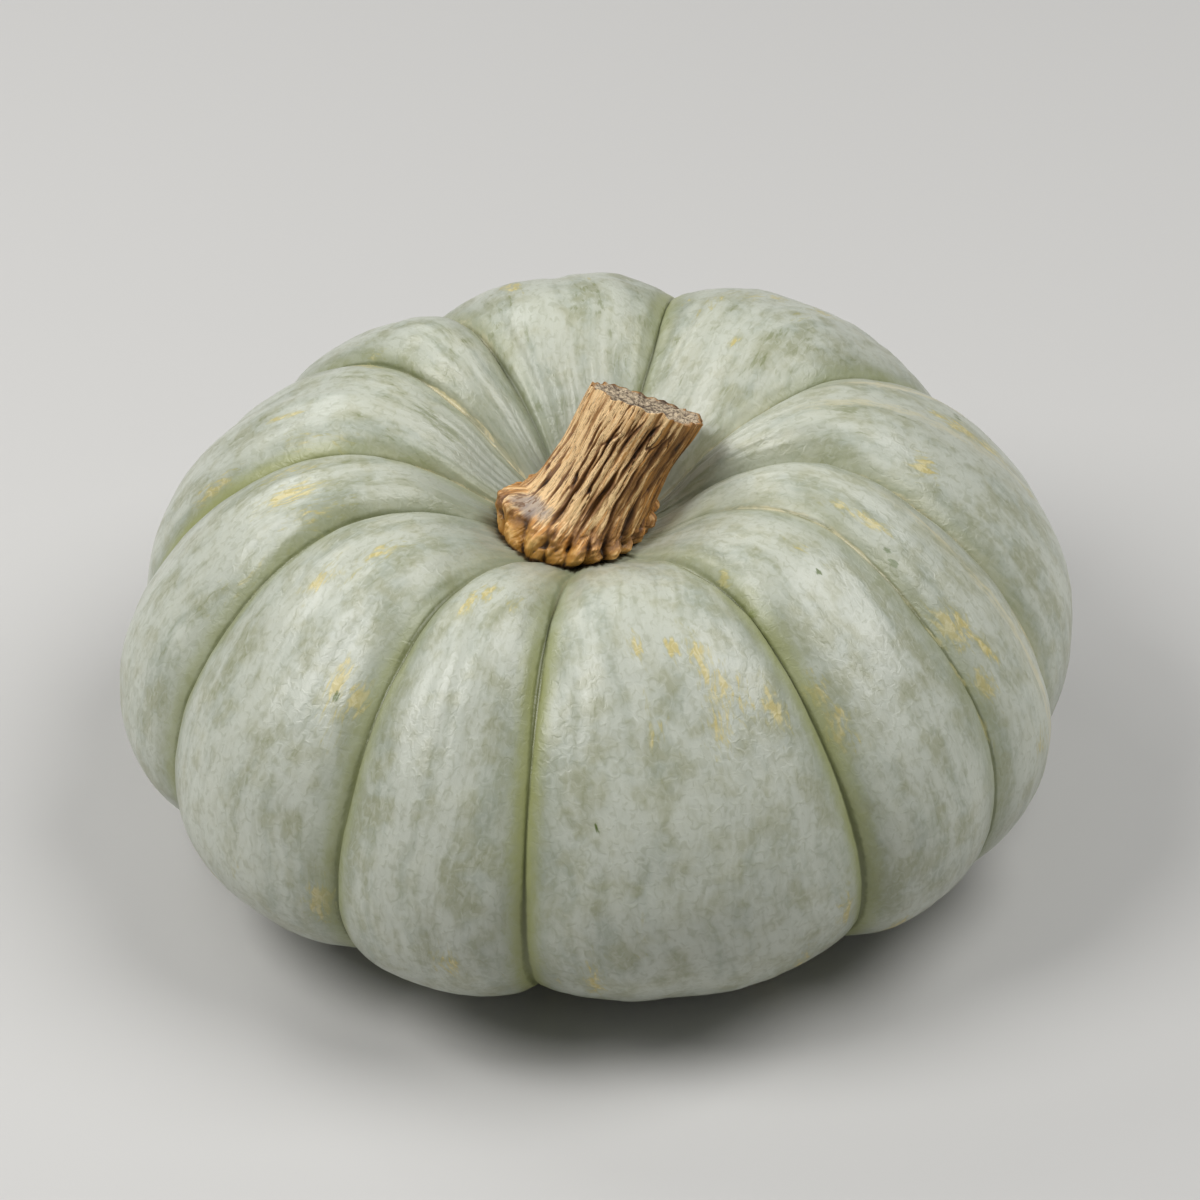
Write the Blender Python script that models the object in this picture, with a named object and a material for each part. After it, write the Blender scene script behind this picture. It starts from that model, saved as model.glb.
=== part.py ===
"""A whole jarrahdale pumpkin, as picked: a ribbed grey-green fruit and the dry stem that is grown into it.

Blender units are metres, with +Z up and -Y towards the front. The pumpkin rests on the plane z = 0, on the
small flat spots under its ribs, and the origin is below the middle of its box.
"""

import math

import bmesh
import bpy
import numpy as np
from mathutils import Vector

MM = 0.001

# The outline of a rib, from the stem's seat to the blossom end, as the handles of a smooth curve in mm.
# Each row holds the distance from the fruit's axis, the height, and the depth of the furrows beside the rib.
RIB_HANDLES = (
    (0, 88.5, 0),
    (12.5, 87, 0),
    (21, 91.5, 1.5),
    (35, 105, 5),
    (51, 113, 9),
    (67, 115, 9.5),
    (83.5, 109, 8),
    (102.5, 94, 6.5),
    (123, 71, 8),
    (130, 44, 8),
    (119, 17, 7),
    (92, 0, 6),
    (61, -5, 5),
    (37, 2, 3.5),
    (17, 10, 1.5),
    (0, 12, 0),
)

# The furrows between the ribs, counter-clockwise from above. Each row holds the bearing from +X in degrees
# where the furrow leaves the top, how far it drifts on its way down the side, and its share of the depth.
FURROWS = (
    (-166, 9, 1.0),
    (-127.5, 3, 1.0),
    (-100, 0, 1.0),
    (-55.5, -1, 1.0),
    (-24, -12, 0.6),
    (-4, -13, 1.0),
    (27, 8, 1.0),
    (71, 7, 1.0),
    (114, 2, 1.0),
    (136, 2, 0.8),
    (168.5, 4, 1.0),
)
DRIFT_START = 0.33
DRIFT_END = 0.62
DRIFT_BACK = -1.2
RIB_ROUNDNESS = 0.7

# The fruit grew slightly crooked: above its lowest part it leans to the front and to the left.
LEAN_FRONT = math.radians(3.5)
LEAN_LEFT = math.radians(1.5)
LEAN_HEIGHT = 50 * MM
AXIS_FOOT = Vector((1.2, 2.4, 0)) * MM
FLAT_DEPTH = 1.5 * MM

# The stem, in the fruit's own upright frame.
STEM_FOOT = np.array((-5.0, -3.0)) * MM
STEM_CUT = np.array((17.5, 11.5, 119.0)) * MM
CUT_FACING = np.array((0.37, 0.46, 0.81))
SHAFT_RADIUS = 14.5 * MM
FOOT_RADIUS = 20.5 * MM
FOOT_BULGE = 3.5 * MM
FLARE_HEIGHT = 7 * MM
CUT_HOLLOW = 1.5 * MM
SEAT_GAP = 0.4 * MM
SEAT_END_RUN = 0.3

# How finely the two meshes are divided.
SPANS_PER_RIB = 8
FRUIT_RINGS = 38
RINGS_TOWARDS_SEAT = 1.35
STEM_SIDES = 28
UNDERSIDE_RINGS = 4
SHAFT_RINGS = 12
RINGS_TOWARDS_FOOT = 1.5
CUT_RINGS = 3
SEAT_SAMPLES = 60

RIND_COLOUR = (0.46, 0.50, 0.40)
RIND_ROUGHNESS = 0.42
CORK_COLOUR = (0.36, 0.22, 0.10)
CORK_ROUGHNESS = 0.8


def clear_scene():
    for obj in list(bpy.data.objects):
        bpy.data.objects.remove(obj, do_unlink=True)


def smooth_curve(handles, run):
    """The points and slopes, at run 0 to 1, of the uniform cubic B-spline that the handles draw."""
    spans = len(handles) - 3
    place = np.clip(run, 0, 1) * spans
    first = np.minimum(place.astype(int), spans - 1)
    t = (place - first)[..., None]
    weights = ((1 - t) ** 3, 3 * t**3 - 6 * t**2 + 4, 3 * (t + t**2 - t**3) + 1, t**3)
    slopes = (-((1 - t) ** 2), 3 * t**2 - 4 * t, 1 + 2 * t - 3 * t**2, t**2)
    points = sum(handles[first + k] * weight for k, weight in enumerate(weights)) / 6
    tangents = sum(handles[first + k] * slope for k, slope in enumerate(slopes)) / 2
    return points, tangents


def rib_outline(run):
    """The crest's distance from the axis and height, its outward normal, and the furrows' depth there."""
    handles = np.array(RIB_HANDLES) * MM
    across_the_axis = np.array((-1, 1, 1))
    handles = np.vstack((handles[1] * across_the_axis, handles, handles[-2] * across_the_axis))
    points, tangents = smooth_curve(handles, np.asarray(run, float))
    normal = np.stack((-tangents[..., 1], tangents[..., 0]), -1)
    normal /= np.linalg.norm(normal, axis=-1, keepdims=True)
    return points[..., 0], points[..., 1], normal, points[..., 2]


def furrow_bearing(furrow, run):
    """The bearing of a furrow in radians. Furrow numbers past the last one go round again."""
    bearing, drift, _ = np.array(FURROWS)[furrow % len(FURROWS)].T
    travel = np.clip((run - DRIFT_START) / (DRIFT_END - DRIFT_START), DRIFT_BACK, 1)
    return np.radians(bearing + drift * travel + 360 * (furrow // len(FURROWS)))


def lean(points):
    """Tilts the points to the front and left, not at all on the floor and fully from the lean's height up."""
    part = np.clip(points[..., 2] / LEAN_HEIGHT, 0, 1)
    part = part * part * (3 - 2 * part)
    front, left = LEAN_FRONT * part, LEAN_LEFT * part
    x, y, z = points[..., 0], points[..., 1], points[..., 2]
    y, z = np.cos(front) * y - np.sin(front) * z, np.sin(front) * y + np.cos(front) * z
    x, z = np.cos(left) * x - np.sin(left) * z, np.sin(left) * x + np.cos(left) * z
    return np.stack((x, y, z), -1)


def press_on_floor(height):
    """Flattens what would reach below the floor, with a soft edge."""
    bend = (np.clip(height, -FLAT_DEPTH, FLAT_DEPTH) + FLAT_DEPTH) ** 2 / (4 * FLAT_DEPTH)
    return np.where(height > FLAT_DEPTH, height, bend)


def fruit_surface(run, rib, across):
    """Points on the fruit: run goes from stem to blossom end, and across goes from -1 to 1 over one rib."""
    distance, height, normal, depth = rib_outline(run)
    share = np.array(FURROWS)[:, 2]
    nearer_furrow = np.where(across < 0, rib, rib + 1) % len(FURROWS)
    sunk = depth * share[nearer_furrow] * (1 - np.clip(1 - across**2, 0, 1) ** RIB_ROUNDNESS)
    start, end = furrow_bearing(rib, run), furrow_bearing(rib + 1, run)
    bearing = start + (end - start) * (across + 1) / 2
    distance = distance - normal[..., 0] * sunk
    height = press_on_floor(height - normal[..., 1] * sunk)
    return lean(np.stack((distance * np.cos(bearing), distance * np.sin(bearing), height), -1))


def seat_height(x, y):
    """The height of the seat under the stem, before the lean."""
    distance, height, _, _ = rib_outline(np.linspace(0, SEAT_END_RUN, SEAT_SAMPLES))
    return np.interp(np.hypot(x, y), distance, height)


def stem_foot(angle, radius):
    """Points just above the seat, at this distance from the middle of the stem's foot."""
    x = STEM_FOOT[0] + radius * np.cos(angle)
    y = STEM_FOOT[1] + radius * np.sin(angle)
    return np.stack((x, y, seat_height(x, y) + SEAT_GAP), -1)


def stem_side(angle, rise):
    """Points up the stem's side, at rise 0 on the seat and 1 at the cut."""
    foot_middle = np.append(STEM_FOOT, seat_height(*STEM_FOOT))
    along = (STEM_CUT - foot_middle) / np.linalg.norm(STEM_CUT - foot_middle)
    right = np.cross((0, 1, 0), along)
    right /= np.linalg.norm(right)
    back = np.cross(along, right)
    sideways = np.cos(angle)[..., None] * right + np.sin(angle)[..., None] * back
    beside = foot_middle + SHAFT_RADIUS * sideways
    foot = stem_foot(angle, FOOT_RADIUS)
    start = (foot - beside)[..., 2:] / along[2]
    end = ((STEM_CUT - beside) @ CUT_FACING / (along @ CUT_FACING))[..., None]
    climb = (end - start) * np.asarray(rise)[..., None]
    fade = np.exp(-climb / FLARE_HEIGHT)
    outward = np.stack((np.cos(angle), np.sin(angle), np.zeros_like(angle)), -1)
    bulge = FOOT_BULGE * (climb / FLARE_HEIGHT) * fade * outward
    shaft_base = beside + start * along
    return shaft_base + climb * along + (foot - shaft_base) * fade + bulge


def stem_cut(angle, share):
    """Points on the slightly hollow cut, at this share of the way from its middle to its rim."""
    rim = stem_side(angle, np.ones_like(angle))
    facing = CUT_FACING / np.linalg.norm(CUT_FACING)
    return STEM_CUT + (rim - STEM_CUT) * share - facing * CUT_HOLLOW * (1 - share**2)


def skin_over(rings, start, end):
    """A closed mesh over rings of points, with a point at either end."""
    shape = bmesh.new()
    loops = [[shape.verts.new(point) for point in ring] for ring in rings]
    first, last = shape.verts.new(start), shape.verts.new(end)
    sides = len(loops[0])
    for side in range(sides):
        following = (side + 1) % sides
        shape.faces.new((first, loops[0][side], loops[0][following]))
        shape.faces.new((last, loops[-1][following], loops[-1][side]))
        for upper, lower in zip(loops, loops[1:]):
            shape.faces.new((upper[side], lower[side], lower[following], upper[following]))
    bmesh.ops.recalc_face_normals(shape, faces=shape.faces)
    return shape


def add_object(name, shape, material, sharp_angle):
    mesh = bpy.data.meshes.new(name)
    shape.to_mesh(mesh)
    shape.free()
    mesh.shade_smooth()
    mesh.set_sharp_from_angle(angle=math.radians(sharp_angle))
    mesh.materials.append(material)
    obj = bpy.data.objects.new(name, mesh)
    obj.location = AXIS_FOOT
    bpy.context.scene.collection.objects.link(obj)
    return obj


def plain_material(name, colour, roughness):
    material = bpy.data.materials.new(name)
    material.use_nodes = True
    shader = material.node_tree.nodes["Principled BSDF"]
    shader.inputs["Base Color"].default_value = (*colour, 1)
    shader.inputs["Roughness"].default_value = roughness
    shader.inputs["Metallic"].default_value = 0
    return material


def make_fruit():
    columns = np.arange(len(FURROWS) * SPANS_PER_RIB)
    rib = columns // SPANS_PER_RIB
    across = 2 * (columns % SPANS_PER_RIB) / SPANS_PER_RIB - 1
    runs = np.linspace(0, 1, FRUIT_RINGS + 2)[1:-1] ** RINGS_TOWARDS_SEAT
    rings = [fruit_surface(np.full(len(columns), run), rib, across) for run in runs]
    seat, blossom_end = fruit_surface(np.array((0.0, 1.0)), np.array((0, 0)), np.zeros(2))
    rind = plain_material("grey_green_rind", RIND_COLOUR, RIND_ROUGHNESS)
    return add_object("fruit", skin_over(rings, seat, blossom_end), rind, sharp_angle=60)


def make_stem():
    angles = 2 * math.pi * np.arange(STEM_SIDES) / STEM_SIDES
    rings = []
    for share in np.linspace(0, 1, UNDERSIDE_RINGS + 1)[1:]:
        rings.append(stem_foot(angles, FOOT_RADIUS * share))
    for rise in np.linspace(0, 1, SHAFT_RINGS + 1)[1:] ** RINGS_TOWARDS_FOOT:
        rings.append(stem_side(angles, np.full(STEM_SIDES, rise)))
    for share in np.linspace(1, 0, CUT_RINGS + 1)[1:-1]:
        rings.append(stem_cut(angles, share))
    underside_middle = stem_foot(np.zeros(1), 0)[0]
    cut_middle = stem_cut(np.zeros(1), 0)[0]
    cork = plain_material("dry_stem_cork", CORK_COLOUR, CORK_ROUGHNESS)
    shape = skin_over([lean(ring) for ring in rings], lean(underside_middle), lean(cut_middle))
    return add_object("stem", shape, cork, sharp_angle=35)


clear_scene()
make_fruit()
make_stem()
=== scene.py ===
"""The looks of a whole jarrahdale pumpkin: its ribbed rind and its dry stem, on a pale floor."""

import math

import bpy
import numpy as np
from mathutils import Matrix, Vector, noise


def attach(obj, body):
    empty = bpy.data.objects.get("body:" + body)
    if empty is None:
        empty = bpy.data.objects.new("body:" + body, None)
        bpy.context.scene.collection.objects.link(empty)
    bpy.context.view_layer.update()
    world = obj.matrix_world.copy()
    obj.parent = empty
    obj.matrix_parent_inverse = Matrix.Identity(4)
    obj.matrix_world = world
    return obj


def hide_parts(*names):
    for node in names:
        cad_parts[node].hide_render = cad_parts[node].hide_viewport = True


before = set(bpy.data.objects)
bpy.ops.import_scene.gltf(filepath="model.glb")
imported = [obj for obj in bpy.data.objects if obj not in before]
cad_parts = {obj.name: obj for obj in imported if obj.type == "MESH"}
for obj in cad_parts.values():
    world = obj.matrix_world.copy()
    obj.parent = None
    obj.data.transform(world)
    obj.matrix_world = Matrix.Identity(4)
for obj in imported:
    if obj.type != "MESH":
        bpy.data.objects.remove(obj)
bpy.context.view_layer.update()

MM = 0.001

# The outline of a rib, from the stem's seat to the blossom end, as the handles of a smooth curve in mm.
# Each row holds the distance from the fruit's axis, the height, and the depth of the furrows beside the rib.
# A run, from 0 at the seat to 1 at the blossom end, says how far along this outline a place is.
RIB_HANDLES = (
    (0, 88.5, 0),
    (12.5, 87, 0),
    (21, 91.5, 1.5),
    (35, 105, 5),
    (51, 113, 9),
    (67, 115, 9.5),
    (83.5, 109, 8),
    (102.5, 94, 6.5),
    (123, 71, 8),
    (130, 44, 8),
    (119, 17, 7),
    (92, 0, 6),
    (61, -5, 5),
    (37, 2, 3.5),
    (17, 10, 1.5),
    (0, 12, 0),
)

# The furrows between the ribs, counter-clockwise from above. Each row holds the bearing from +X in degrees
# where the furrow leaves the top, how far it drifts on its way down the side, its share of the depth, and how
# yellow-green it is.
FURROWS = (
    (-166, 9, 1, 0.5),
    (-127.5, 3, 1, 0.6),
    (-100, 0, 1, 1),
    (-55.5, -1, 1, 0.8),
    (-27, -9, 0.4, 0.2),
    (-4, -13, 1, 0.3),
    (27, 8, 1, 0.5),
    (71, 7, 1, 0.8),
    (114, 2, 1, 0.4),
    (136, 2, 0.8, 0.3),
    (168.5, 4, 1, 1),
)
RIBS = len(FURROWS)
DRIFT_START = 0.33
DRIFT_END = 0.62
DRIFT_BACK = -1.2
RIB_ROUNDNESS = 0.7

# Soft creases that split a rib. Each row holds the rib, the place across it from -1 to 1, the depth and the
# width in mm, and the run at which it fades in and out. Fades, here and below, say how far from the start
# they rise from and to, and how far from the end they fall from and to.
SOFT_CREASES = (
    (10, 0.1, 1.6, 5, 0.1, 0.36),
    (10, -0.45, 0.8, 4, 0.12, 0.34),
    (0, 0, 1.5, 5, 0.1, 0.36),
    (1, 0.1, 0.9, 5, 0.08, 0.3),
    (2, -0.1, 1.3, 8, 0.3, 0.62),
    (2, 0.3, 0.8, 6, 0.1, 0.34),
    (3, -0.1, 0.9, 7, 0.12, 0.4),
    (6, 0.05, 1.2, 8, 0.1, 0.6),
    (7, 0, 1.1, 8, 0.16, 0.6),
    (9, -0.2, 1.2, 6, 0.1, 0.42),
    (9, 0.35, 1, 5, 0.12, 0.4),
    (5, 0.2, 0.8, 6, 0.2, 0.5),
)
CREASE_FADES = (0, 0.08, 0, 0.12)

# Cream lines that run along a furrow or a crease. Each row holds the rib, the place across it, the run at
# which the line starts and ends, its width in mm, and its strength.
CREAM_LINES = (
    (8, 1, 0.12, 0.3, 0.45, 0.9),
    (9, 1, 0.12, 0.27, 0.35, 0.6),
    (5, 1, 0.12, 0.27, 0.8, 0.9),
    (3, 1, 0.22, 0.43, 0.7, 0.6),
    (4, 0.96, 0.36, 0.62, 1.6, 0.7),
    (5, 0.62, 0.36, 0.6, 2.2, 0.6),
    (4, 0.35, 0.4, 0.62, 1.8, 0.5),
    (5, 0.1, 0.3, 0.52, 1.8, 0.4),
    (7, 0.98, 0.3, 0.6, 1, 0.4),
)
LINE_FADES = (-0.04, 0.04, -0.04, 0.05)
# The widths away from a line beyond which it doesn't show.
LINE_REACH = 9.0

# Ochre patches where the bloom is missing. Each row holds the rib, the place across it, the run, the length
# along the rib and the width in mm, and the strength.
OCHRE_PATCHES = (
    (0, 0.6, 0.44, 7, 3, 1),
    (0, 0.82, 0.446, 6, 3.5, 1),
    (0, 0.72, 0.462, 9, 6, 0.5),
    (0, 0.06, 0.318, 8, 3.5, 0.7),
    (0, -0.22, 0.385, 9, 3, 0.7),
    (0, -0.05, 0.36, 10, 5, 0.4),
    (1, -0.3, 0.325, 7, 3, 0.8),
    (1, -0.12, 0.305, 6, 3, 0.8),
    (1, 0.45, 0.31, 6, 3, 0.6),
    (2, -0.16, 0.37, 5, 2.5, 0.8),
    (2, 0.14, 0.379, 4, 2.5, 1),
    (2, 0.32, 0.405, 12, 2.5, 0.9),
    (2, 0.42, 0.425, 12, 3, 0.7),
    (2, 0.3, 0.452, 9, 4, 0.7),
    (2, 0.54, 0.44, 10, 3.5, 0.6),
    (2, 0.74, 0.45, 9, 4, 0.8),
    (2, -0.12, 0.44, 14, 4, 0.4),
    (3, 1, 0.445, 5, 0.9, 0.9),
    (3, 1, 0.47, 6, 1.1, 1),
    (3, 1, 0.5, 7, 1.1, 0.9),
    (3, 1, 0.535, 7, 1.4, 1),
    (3, -0.86, 0.455, 8, 4, 0.8),
    (3, -0.8, 0.48, 10, 5, 0.7),
    (3, 0.28, 0.35, 12, 3, 0.4),
    (4, -0.74, 0.475, 8, 4, 1),
    (4, -0.52, 0.48, 8, 3, 0.8),
    (4, -0.74, 0.515, 6, 4, 0.9),
    (4, -0.4, 0.5, 7, 2.5, 0.8),
    (4, -0.52, 0.344, 6, 1.8, 0.8),
    (4, -0.44, 0.384, 7, 2, 0.9),
    (4, -0.5, 0.36, 10, 3, 0.4),
    (4, 0.7, 0.529, 12, 4, 0.8),
    (5, 0.08, 0.525, 8, 4, 0.6),
    (5, 0.22, 0.486, 16, 3, 0.9),
    (5, 0.28, 0.46, 12, 2.5, 0.8),
    (10, 0.7, 0.36, 16, 5, 0.5),
    (10, 0.85, 0.44, 16, 5, 0.4),
    (6, 0.5, 0.36, 12, 4, 0.5),
    (6, -0.3, 0.4, 10, 4, 0.4),
    (6, -0.04, 0.304, 3, 1.8, 0.9),
    (6, 0.8, 0.373, 6, 3, 0.5),
    (6, 0.26, 0.397, 10, 4, 0.5),
    (8, 0.9, 0.385, 6, 5, 0.5),
    (9, 0.74, 0.38, 9, 4, 0.55),
    (9, 0.86, 0.337, 8, 3, 0.55),
    (3, -0.9, 0.298, 4, 2, 0.9),
)

# Dark olive marks, in rows of the same kind.
OLIVE_PATCHES = (
    (9, -0.14, 0.25, 8, 4, 0.9),
    (9, -0.1, 0.22, 7, 3.5, 1),
    (9, 0, 0.3, 9, 3, 0.5),
    (9, 0.95, 0.23, 10, 2, 0.9),
    (7, -0.34, 0.313, 5, 2, 0.9),
    (7, -0.46, 0.274, 6, 2, 0.8),
    (7, -0.86, 0.39, 8, 2, 0.7),
    (6, -0.34, 0.337, 6, 2.2, 1),
    (6, -0.46, 0.294, 8, 2, 0.9),
    (6, 0.28, 0.309, 7, 2, 0.7),
    (6, 0.32, 0.238, 7, 1.8, 0.6),
    (6, -0.66, 0.307, 6, 2, 0.7),
    (5, -0.08, 0.351, 6, 2.4, 1),
    (5, -0.44, 0.364, 5, 2, 0.8),
    (5, -0.06, 0.408, 6, 2, 0.8),
    (5, -0.66, 0.379, 5, 2, 0.6),
    (8, 0.94, 0.379, 7, 2, 0.6),
    (8, 0.98, 0.305, 4, 1.8, 1),
)

# More ochre patches, at random where the front view doesn't show. Each row but its rib is drawn between a low
# and a high one. The ribs in front have a low row of their own, because only their lower runs are hidden.
HIDDEN_PATCHES = 70
HIDDEN_PATCH_SEED = 7
HIDDEN_PATCH_LOW = (-0.9, 0.36, 4, 2, 0.3)
FRONT_PATCH_LOW = (-0.9, 0.55, 4, 2, 0.3)
HIDDEN_PATCH_HIGH = (0.9, 0.80, 14, 5, 0.9)
FRONT_RIBS = range(5)

# Dark green flecks. Each row holds the rib, the place across it, the run, the length and the width in mm.
GREEN_FLECKS = (
    (4, -0.75, 0.417, 2.6, 1.5),
    (4, -0.66, 0.408, 2, 1.3),
    (3, 0.15, 0.375, 2, 1.2),
    (3, -0.93, 0.366, 2.6, 1.4),
    (5, 0.4, 0.47, 3.4, 1.6),
    (0, 0.64, 0.452, 2.8, 1.4),
    (2, -0.55, 0.5, 3, 1.5),
)

# Gentle swellings of single ribs. Each row holds the rib, the place across it, the run, and the length along
# the rib, the width and the height in mm.
SWELLINGS = (
    (6, 0, 0.44, 30, 30, 1.8),
    (5, 0.4, 0.46, 30, 26, 1.6),
    (8, 0, 0.42, 26, 24, -1.2),
)

# The fruit leans to the front and the left, fully from the lean's height up. The floor presses flat spots
# into its ribs.
LEAN_FRONT = math.radians(3.5)
LEAN_LEFT = math.radians(1.5)
LEAN_HEIGHT = 50 * MM
AXIS_FOOT = np.array((1.2, 2.4, 0)) * MM
FLAT_DEPTH = 1.5 * MM

# The rind's fine relief: lumps, and ridges that follow the ribs, on a cylinder of the flow's radius in mm.
# Each layer of noise, here and below, holds its height, the size of its bumps in mm, and its seed.
LUMPS = ((0.8, 34, 1), (0.34, 13, 2), (0.13, 5, 3))
RIDGES = ((0.30, (5, 5, 60), 4),)
FINE_RIDGES = ((0.35, (3, 3, 40), 5),)
FLOW_RADIUS = 126.0
FINE_FLOW = np.array((0.45, 0.45, 1))
RIDGE_LOSS = 0.6
RIDGE_LOSS_RUNS = (0.35, 0.6)

# The side on which the rind is marbled most, and the runs at which that and the bluer tint with painted shade
# on the cavity's left side fade out.
MARBLED_BEARING = math.radians(115)
MARBLED_FADE_RUNS = (0.45, 0.7)
DIM_FADE_RUNS = (0.12, 0.30)

# The blossom's scar, with a groove round it, in mm. Marks of one end of the fruit count as far away from the
# other end.
SCAR_RADIUS = 7.0
SCAR_GROOVE_DEPTH = 1.3
SCAR_GROOVE_GAP = 2
SCAR_GROOVE_WIDTH = 3
UNDERSIDE_RUN = 0.5
FAR_AWAY = 100.0

# The stem, in the fruit's own upright frame.
STEM_FOOT = np.array((-6.6, -4.3)) * MM
STEM_CUT = np.array((17.0, 11.5, 119.3)) * MM
CUT_FACING = np.array((0.37, 0.46, 0.81))
SHAFT_RADIUS = 14.0 * MM
FOOT_RADIUS = 18.5 * MM
FOOT_BULGE = 4.2 * MM
FLARE_HEIGHT = 5.8 * MM
CUT_HOLLOW = 1.5 * MM
SEAT_END_RUN = 0.3
SEAT_SAMPLES = 60
ROOT_DEPTH = 1.5 * MM

# How far the fruit's lean carries the seat to the left and to the front.
SEAT_LEAN = np.array((-2.3, -5.4)) * MM

STEM_SIDES = 380
STEM_RINGS = 190
CUT_RINGS = 34
ROOT_RINGS = 6
FIRST_CUT_SHARE = 0.02

# The strands up the stem, which crowd together on one side and twist at the foot.
STRANDS = 17
FINE_STRANDS = 43
STRAND_CROWDING = 2.6
CROWDED_ANGLE = 0.9
FOOT_TWIST = 0.36
FOOT_TWIST_HEIGHT = 13.0
GRAIN_RADIUS = 15
STRAND_WARP = ((0.8, (12, 12, 50), 11), (0.26, (4, 4, 11), 12))
STRAND_SHARPNESS = 0.45
FINE_SHARPNESS = 0.4

# The grooves in the shaft. Each pair holds how deep a groove is and how much painted shade it gets.
STRAND_DEPTH, STRAND_SHADE = 1.5, 0.75
FINE_DEPTH, FINE_SHADE = 0.65, 0.45
CRACK_DEPTH, CRACK_SHADE = 0.6, 0.7
FISSURE_SHARE, FISSURE_SHADE = 0.75, 0.75

# The lumps, lobes and warts round the stem's foot, which fades into the shaft between two heights in mm.
FOOT_FADE = (3, 12)
WARTS = ((0.8, (3.2, 3.2, 4), 45), (0.6, 1.6, 46), (0.4, 0.8, 26))
CELL_SIZE = (7.5, 7.5, 13)
CELL_SEED = 54
CELL_SHIFT_SEEDS = (51, 52, 53)
LUMP_HEIGHT = 2.0
LOBE_HEIGHT = 2.2
LOBE_SHARPNESS = 0.8
UNDERCUT_DEPTH = 2.4
TOP_FLARE = 1.3
TOP_FLARE_RISES = (0.55, 1.0)

# Soft patches on the stem's side. Each row holds a bearing in degrees, half the width in radians, the height
# of the middle and half the height in mm.
SHOULDER = (190, 0.75, 6, 4)
WEATHERED_PATCH = (207, 0.5, 9.5, 4)
SHOULDER_HEIGHT = 3.2
# Painted light on the stem's lit side: its bearing, its width in radians, and the heights in mm over which it
# fades in.
PAINTED_LIGHT_BEARING = math.radians(215)
PAINTED_LIGHT_WIDTH = 1.15
PAINTED_LIGHT_HEIGHTS = (4, 12)

# The cut: its pits, its ragged rim, and the shares of the way in over which the pits and its colour start.
CUT_PITS = ((0.9, 2.6, 23), (0.5, 1.1, 24), (0.7, 6, 25))
RAGGED_RIM = ((0.9, (2.2, 2.2, 60), 21), (1.2, (7, 7, 60), 22))
RAGGED_RISE = 0.05
CUT_RIM_SHARE = 0.12
CUT_EDGE_SHARES = (0.02, 0.10)

# The knobs round the stem's foot. Each row holds its bearing in degrees, the height of its middle above the
# seat, half its width, half its height, and how far it stands out, in mm.
KNOBS = (
    (183, 6.8, 6, 4.2, 2.2),
    (-120, 4.6, 3.4, 5.4, 1.9),
    (-88, 3.8, 4.2, 4.6, 1.9),
    (-56, 3.6, 2.8, 3.8, 1.4),
    (-30, 4.6, 2.6, 4.6, 1.2),
    (-12, 7.4, 2.4, 2.2, 2),
    (-4, 3.2, 2, 1.8, 2.2),
    (3, 8.4, 2.6, 2.4, 2.6),
    (12, 4.2, 2.4, 2.2, 2.6),
)
BACK_KNOB_BEARINGS = range(34, 172, 22)
BACK_KNOB_LOW = (-6, 2.8, 2.4, 3.4, 1.0)
BACK_KNOB_HIGH = (6, 5.5, 4.2, 5.4, 2.2)
KNOB_TURNS = ((1.1, 5, 41), (0.4, 2, 42))
KNOB_CLIMBS = ((0.9, 5, 43), (0.4, 2, 44))
KNOB_ROUNDNESS = 0.7

# The deep fissures up the shaft. Each row holds its bearing in degrees at the top and at the foot, the rise
# where it starts and ends, and its width and depth in mm.
FISSURES = (
    (-92, -106, 0.2, 0.62, 0.9, 2.4),
    (-88, -98, 0.5, 0.98, 0.6, 1.6),
    (-126, -130, 0.14, 0.74, 0.45, 1.8),
    (-122, -122, 0.58, 0.96, 0.35, 1.4),
    (-134, -138, 0.26, 0.9, 0.3, 1.2),
    (-112, -118, 0.34, 0.86, 0.4, 1.4),
    (-104, -112, 0.66, 1, 0.3, 1),
    (-98, -104, 0.1, 0.46, 0.4, 1.4),
    (-80, -82, 0.16, 0.66, 0.5, 1.8),
    (-72, -70, 0.34, 0.96, 0.4, 1.4),
    (-66, -62, 0.12, 0.44, 0.35, 1.2),
    (-60, -58, 0.14, 0.5, 0.5, 1.3),
    (-52, -50, 0.42, 1, 0.6, 1.8),
    (-36, -32, 0.14, 0.62, 0.5, 1.3),
    (-27, -24, 0.5, 0.96, 0.5, 1.4),
    (-140, -138, 0.56, 0.92, 0.35, 0.8),
    (-150, -145, 0.2, 0.6, 0.4, 1),
    (-168, -163, 0.25, 0.7, 0.4, 1),
)
BACK_FISSURE_BEARINGS = range(-10, 180, 15)
BACK_FISSURE_LOW = (-5, -5, 0.10, 0.55, 0.4, 0.9)
BACK_FISSURE_HIGH = (5, 5, 0.35, 1.0, 0.8, 2.2)
FISSURE_WANDER = ((0.09, (30, 30, 9), 31), (0.025, (3, 3, 4), 32))
FISSURE_FRAY = ((0.5, (2, 2, 5), 33),)
FISSURE_FADES = (-0.05, 0.15, -0.15, 0.05)
FISSURE_TIP_WIDTH = 0.3
STEM_SEED = 3

COLUMNS_PER_RIB = 46
COLUMN_CROWDING = 0.45
FRUIT_RINGS = 196
RING_CROWDING = 0.25
FIRST_RUN = 0.01
OUTLINE_SAMPLES = 400
NOISE_SEED_STEP = 37.7
RIB_MAP_NARROWING = 0.6
MAP_HALF_WIDTH = 35.0
MAP_RIB_STEP = 311.0


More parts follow.
